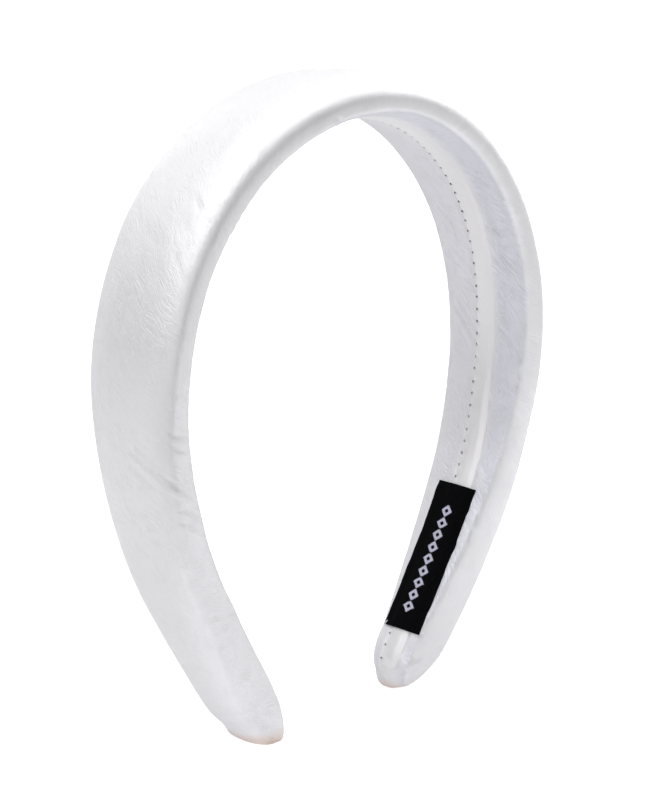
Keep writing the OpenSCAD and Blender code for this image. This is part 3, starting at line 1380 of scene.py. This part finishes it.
@dataclass
class WovenLabel:
    """The woven label, sewn over the seam near the foot of the right leg.

    Attributes:
        shape: Measures of the band.
        long: Its length along the leg.
        wide: Its width at its upper and lower end.
        thick: Its thickness.
        foot: Distance from its lower end to the foot.
        shift: How far its middle lies in front of the band's, at its upper and lower end.
        skew: How much lower its front edge hangs, as a share of its width.
        over: Height of its underside over the face where the lap lies beneath.
        bed: Height of its underside elsewhere.
        edge_sway: How far its edges stray from straight lines.
        rows: Points down the label.
        columns: Points across it.
        seed: Seed of its waves.
        finish: The tape.
    """

    shape: BandShape = BAND
    long: float = 39.1
    wide: tuple[float, float] = (11.8, 11.4)
    thick: float = 0.45
    foot: float = 16.7
    shift: tuple[float, float] = (1.0, 0.45)
    skew: float = 0.045
    over: float = 0.55
    bed: float = 0.12
    edge_sway: float = 0.16
    rows: int = 110
    columns: int = 30
    seed: int = 31
    finish: WovenTape = WovenTape()

    def build(self) -> bpy.types.Object:
        """Makes the label."""
        wave = ClothNoise(self.seed)
        down = np.linspace(0, self.long, self.rows)
        cuts = self.shape.sections(self.shape.leg - self.foot - self.long + down)
        shift, wide = (np.interp(down, (0, self.long), ends)[:, None] for ends in (self.shift, self.wide))
        share = np.linspace(-0.5, 0.5, self.columns)
        run_down = down[:, None]
        sway = self.edge_sway * wave.at(run_down / 2.6, np.sign(share) * 3 + 10)
        y = share * wide - shift + sway * (np.abs(share) * 2) ** 6
        behind = y - cuts.edge[:, None]
        # The lap lifts the label where it passes beneath
        on_lap = ease((2.2 - behind) / 2.6) * ease((behind + 6.6) / 1.8)
        rest = self.bed + (self.over - self.bed) * on_lap
        rest += 0.05 * wave.at(run_down / 7 + 40, share * 3 + 40)
        face = self.shape.face(cuts, y)
        top = self.skewed(cuts.at(y, face - rest - self.thick), down, share)
        under = self.skewed(cuts.at(y, face - rest), down, share)
        ring = np.concatenate([top, under[:, ::-1]], axis=1)
        run = np.concatenate([share, share[::-1], share[:1]]) * self.wide[0]
        piece = cloth_object("sewn_label", ring[:, ::-1], grid_of(run_down, run)[:, ::-1])
        piece.data.set_sharp_from_angle(angle=math.radians(40))
        dress(piece, self.finish.material(), Slot.TAPE, "woven_label")
        return piece

    def skewed(self, points: np.ndarray, down: np.ndarray, share: np.ndarray) -> np.ndarray:
        """Lets the label's front edge hang a little lower than its rear one.

        Args:
            points: Rows of points across the label.
            down: Each row's distance from the upper end.
            share: Each column's place across, from -0.5 in front to 0.5 behind.

        Returns:
            The moved points.
        """
        heading = np.gradient(points, down, axis=0)
        return points - heading * (self.skew * self.wide[0] * share)[None, :, None]


@dataclass
class SeamStitches:
    """Slip stitches along the fold, and dark caps that paint the shadow in the needle holes that they pull
    open.

    Attributes:
        shape: Measures of the band.
        pitch: Distance between stitches.
        phase: Place of the stitch nearest the crown.
        end: Distance from the last stitches to the feet.
        label: Where the label hides the seam, as places along the band.
        below_shift: How far the stitches below the label are off the others' spacing.
        corner: Place of the label's tacked corner, along the band and behind its middle.
        thread_d: Diameter of the thread.
        hole: Half length and radius of a needle hole.
        seed: Seed of the stitches' unevenness.
    """

    shape: BandShape = BAND
    pitch: float = 3.118
    phase: float = 1.25
    end: float = 7.5
    label: tuple[float, float] = (133.0, 174.4)
    below_shift: float = 0.8
    corner: tuple[float, float] = (172.6, 4.7)
    thread_d: float = 0.24
    hole: tuple[float, float] = (0.32, 0.26)
    seed: int = 41

    def marks(self) -> np.ndarray:
        """Places of the stitches along the band."""
        reach = self.shape.leg - self.end
        half = int(reach / self.pitch) + 1
        sigma = np.arange(-half, half + 1) * self.pitch + self.phase
        sigma = sigma[np.abs(sigma) < reach]
        sigma[sigma > self.label[1]] -= self.below_shift
        return sigma[(sigma < self.label[0]) | (sigma > self.label[1])]

    def tube(self, path: np.ndarray, radius: np.ndarray, sides: int = 8) -> np.ndarray:
        """Rings of points round a path.

        Args:
            path: Points of the path.
            radius: The tube's radius at each point.
            sides: Points in a ring.

        Returns:
            The rings.
        """
        heading = np.gradient(path, axis=0)
        heading /= np.linalg.norm(heading, axis=1, keepdims=True)
        askew = (0.31, 0.87, 0.38)
        first = np.cross(heading, askew)
        first /= np.linalg.norm(first, axis=1, keepdims=True)
        second = np.cross(heading, first)
        turn = np.linspace(0, 2 * np.pi, sides, endpoint=False)
        circle = first[:, None] * np.cos(turn)[:, None] + second[:, None] * np.sin(turn)[:, None]
        return path[:, None] + circle * radius[:, None, None]

    def path(self, cuts: Sections, y: np.ndarray, over: np.ndarray | float) -> np.ndarray:
        """Path over the inner face.

        Args:
            cuts: The sections that it runs through.
            y: Its distance behind the middle of the band at each of them.
            over: Its height over the face.

        Returns:
            Points of the path.
        """
        height = np.broadcast_to(over, y.shape)[:, None]
        return cuts.at(y[:, None], self.shape.face(cuts, y[:, None]) - height)[:, 0]

    def corner_stitch(self) -> np.ndarray:
        """The end of the thread that tacks down the label's lower rear corner."""
        steps = np.linspace(-1, 1, 7)
        cuts = self.shape.sections(self.corner[0] + 0.5 * steps)
        path = self.path(cuts, self.corner[1] + 0.3 * steps, 0.58 + 0.16 * (1 - steps**2))
        return self.tube(path, np.full(len(steps), self.thread_d * 0.7))

    def slip_stitch(self, mark: float, lean: float) -> np.ndarray:
        """A stitch over the fold, which dives into the cloth at both ends.

        Args:
            mark: Its place along the band.
            lean: How far it leans along the band.

        Returns:
            Its rings.
        """
        steps = np.linspace(-1, 1, 7)
        cuts = self.shape.sections(mark + steps * 0.32 * lean)
        fall = 0.36 - 0.34 * (steps + 1) / 2
        over = fall + 0.10 * (1 - steps**2) - 0.12 * steps**6
        path = self.path(cuts, cuts.edge + steps * 0.42 + 0.02, over)
        return self.tube(path, self.thread_d / 2 * np.sqrt(np.clip(1.05 - steps**8, 0.05, 1)))

    def painted_hole_shadow(self, mark: float, wider: float) -> np.ndarray:
        """A dark cap behind a stitch: painted shadow inside its needle hole.

        Args:
            mark: Its place along the band.
            wider: Its width against the usual one.

        Returns:
            Its rings.
        """
        long, radius = self.hole
        cuts = self.shape.sections(mark + np.array([-1.0, -0.55, 0.0, 0.55, 1.0]) * long)
        path = self.path(cuts, cuts.edge + 0.34, -0.02)
        return self.tube(path, radius * wider * np.array([0.25, 0.85, 1.0, 0.85, 0.25]))

    def joined(self, name: str, tubes: list[np.ndarray]) -> bpy.types.Object:
        """Makes one object of several tubes."""
        made = []
        for number, tube in enumerate(tubes):
            rows, columns = tube.shape[:2]
            cloth = grid_of(np.arange(rows)[:, None] * 0.1, np.arange(columns + 1) * 0.1)
            made.append(cloth_object(f"{name}_{number}", tube, cloth))
        with bpy.context.temp_override(active_object=made[0], selected_editable_objects=made):
            bpy.ops.object.join()
        made[0].name = made[0].data.name = name
        return made[0]

    def build(self) -> list[bpy.types.Object]:
        """Makes the stitches and the dark caps of painted shadow in the needle holes."""
        draw = np.random.default_rng(self.seed)
        sigma = self.marks() + draw.normal(0, 0.12, len(self.marks()))
        stitches, holes = [], []
        for mark in sigma:
            stitches.append(self.slip_stitch(mark, draw.normal(0.55, 0.12)))
            wider = 1.5 if mark > self.label[1] else draw.uniform(0.6, 1.3)
            holes.append(self.painted_hole_shadow(mark, wider))
        stitches.append(self.corner_stitch())
        thread = self.joined("seam_stitches", stitches)
        dress(thread, PlainThread("sewing_thread", (0.72, 0.71, 0.72)).material(), Slot.SATIN)
        # Painted shade: a near-black cap stands for the shadow inside each needle hole.
        hole = self.joined("painted_hole_shadows", holes)
        dress(hole, PlainThread("painted_hole_shadow", (0.085, 0.085, 0.095), 0.9).material(), Slot.SATIN)
        return [thread, hole]


@dataclass(frozen=True)
class Softbox:
    """A wide soft light.

    Attributes:
        name: The light's name.
        way: Direction that it stands in, seen from above.
        rise: Its height over the horizon in degrees.
        power: Watts for each square metre that it throws at the band.
        spread: How wide it looks from the band, in degrees.
    """

    name: str
    way: tuple[float, float]
    rise: float
    power: float
    spread: float = 60.0

    def hang(self) -> None:
        """Hangs the light."""
        data = bpy.data.lights.new(self.name, "SUN")
        data.energy = self.power
        data.angle = math.radians(self.spread)
        made = bpy.data.objects.new(self.name, data)
        rise = math.radians(self.rise)
        flat = math.cos(rise) / math.hypot(*self.way)
        aim = Vector((self.way[0] * flat, self.way[1] * flat, math.sin(rise)))
        made.rotation_euler = aim.to_track_quat("Z", "Y").to_euler()
        bpy.context.scene.collection.objects.link(made)


@dataclass
class Studio:
    """Floor, lights and camera; places in millimetres, angles in degrees, the frame in pixels."""

    aim: tuple[float, float, float] = (-2.0, 0.0, 77.3)
    azimuth: float = -46.12
    elevation: float = 12.79
    roll: float = -0.15
    distance: float = 728.8
    focal: float = 3062.0
    frame_tall: float = 807.0
    sensor: float = 36.0
    half_floor: float = 12000.0
    under_paper: float = 0.6
    sky: tuple[float, float, float] = (0.12, 0.12, 0.122)
    softboxes: tuple[Softbox, ...] = (
        Softbox("low_left_front", (-1, -1), 12.0, 0.5),
        Softbox("low_right", (1, 0), 12.0, 1.1),
        Softbox("low_right_back", (1, 1), 12.0, 0.6),
        Softbox("low_back", (0, 1), 12.0, 0.4),
        Softbox("high_left", (-1, 0), 50.0, 1.4),
        Softbox("high_right", (1, 0), 50.0, 1.0),
        Softbox("high_back", (0, 1), 50.0, 0.5),
        Softbox("overhead", (0, 1), 89.0, 1.0),
    )

    def camera(self) -> None:
        """Places the camera."""
        turn, rise, roll = (math.radians(a) for a in (self.azimuth, self.elevation, self.roll))
        level = Vector((math.sin(turn), -math.cos(turn), 0.0))
        back = level * math.cos(rise) + Vector((0.0, 0.0, math.sin(rise)))
        right = Vector((math.cos(turn), math.sin(turn), 0.0))
        up = back.cross(right)
        level_right = right * math.cos(roll) + up * math.sin(roll)
        level_up = up * math.cos(roll) - right * math.sin(roll)
        data = bpy.data.cameras.new("camera")
        data.sensor_fit = "VERTICAL"
        data.sensor_height = self.sensor
        data.lens = self.focal / self.frame_tall * self.sensor
        data.clip_start = 0.05
        data.clip_end = 100.0
        made = bpy.data.objects.new("camera", data)
        spin = Matrix((level_right, level_up, back)).transposed().to_4x4()
        made.matrix_world = Matrix.Translation((Vector(self.aim) + back * self.distance) * MM) @ spin
        bpy.context.scene.collection.objects.link(made)
        bpy.context.scene.camera = made

    def floor(self, name: str, depth: float, finish: StudioPaper | GlowTable, seen: bool) -> None:
        """Lays one sheet of the floor.

        Args:
            name: The sheet's name.
            depth: Its depth under the band's feet.
            finish: Its finish.
            seen: Whether the camera sees it; else it only lights the band.
        """
        half = self.half_floor * MM
        corners = [(-half, -half), (half, -half), (half, half), (-half, half)]
        mesh = bpy.data.meshes.new(name)
        mesh.from_pydata([(x, y, -depth * MM) for x, y in corners], [], [(0, 1, 2, 3)])
        made = bpy.data.objects.new(name, mesh)
        made.data.materials.append(finish.material())
        bpy.context.scene.collection.objects.link(made)
        made.visible_camera = seen
        made.visible_diffuse = made.visible_glossy = made.visible_shadow = not seen

    def lights(self) -> None:
        """Sets the sky and the lights."""
        paint = Paint(bpy.data.worlds.new("studio_sky"))
        sky = paint.node("Background", None, {"Color": self.sky}).out()
        paint.node("OutputWorld", None, {0: sky})
        bpy.context.scene.world = paint.holder
        for softbox in self.softboxes:
            softbox.hang()

    def build(self) -> None:
        """Sets up the studio."""
        bpy.context.scene.view_settings.view_transform = "Standard"
        self.camera()
        self.floor("paper_floor", 0.0, StudioPaper(), seen=True)
        self.floor("bounce_floor", self.under_paper, GlowTable(), seen=False)
        self.lights()


def main() -> None:
    """Builds the studio and the band."""
    logging.basicConfig(level=logging.INFO, format="%(name)s: %(message)s")
    Studio().build()
    cover = SatinCover().build()
    lap = LapFold().build()
    label = WovenLabel().build()
    SeamStitches().build()


if __name__ == "__main__":
    main()
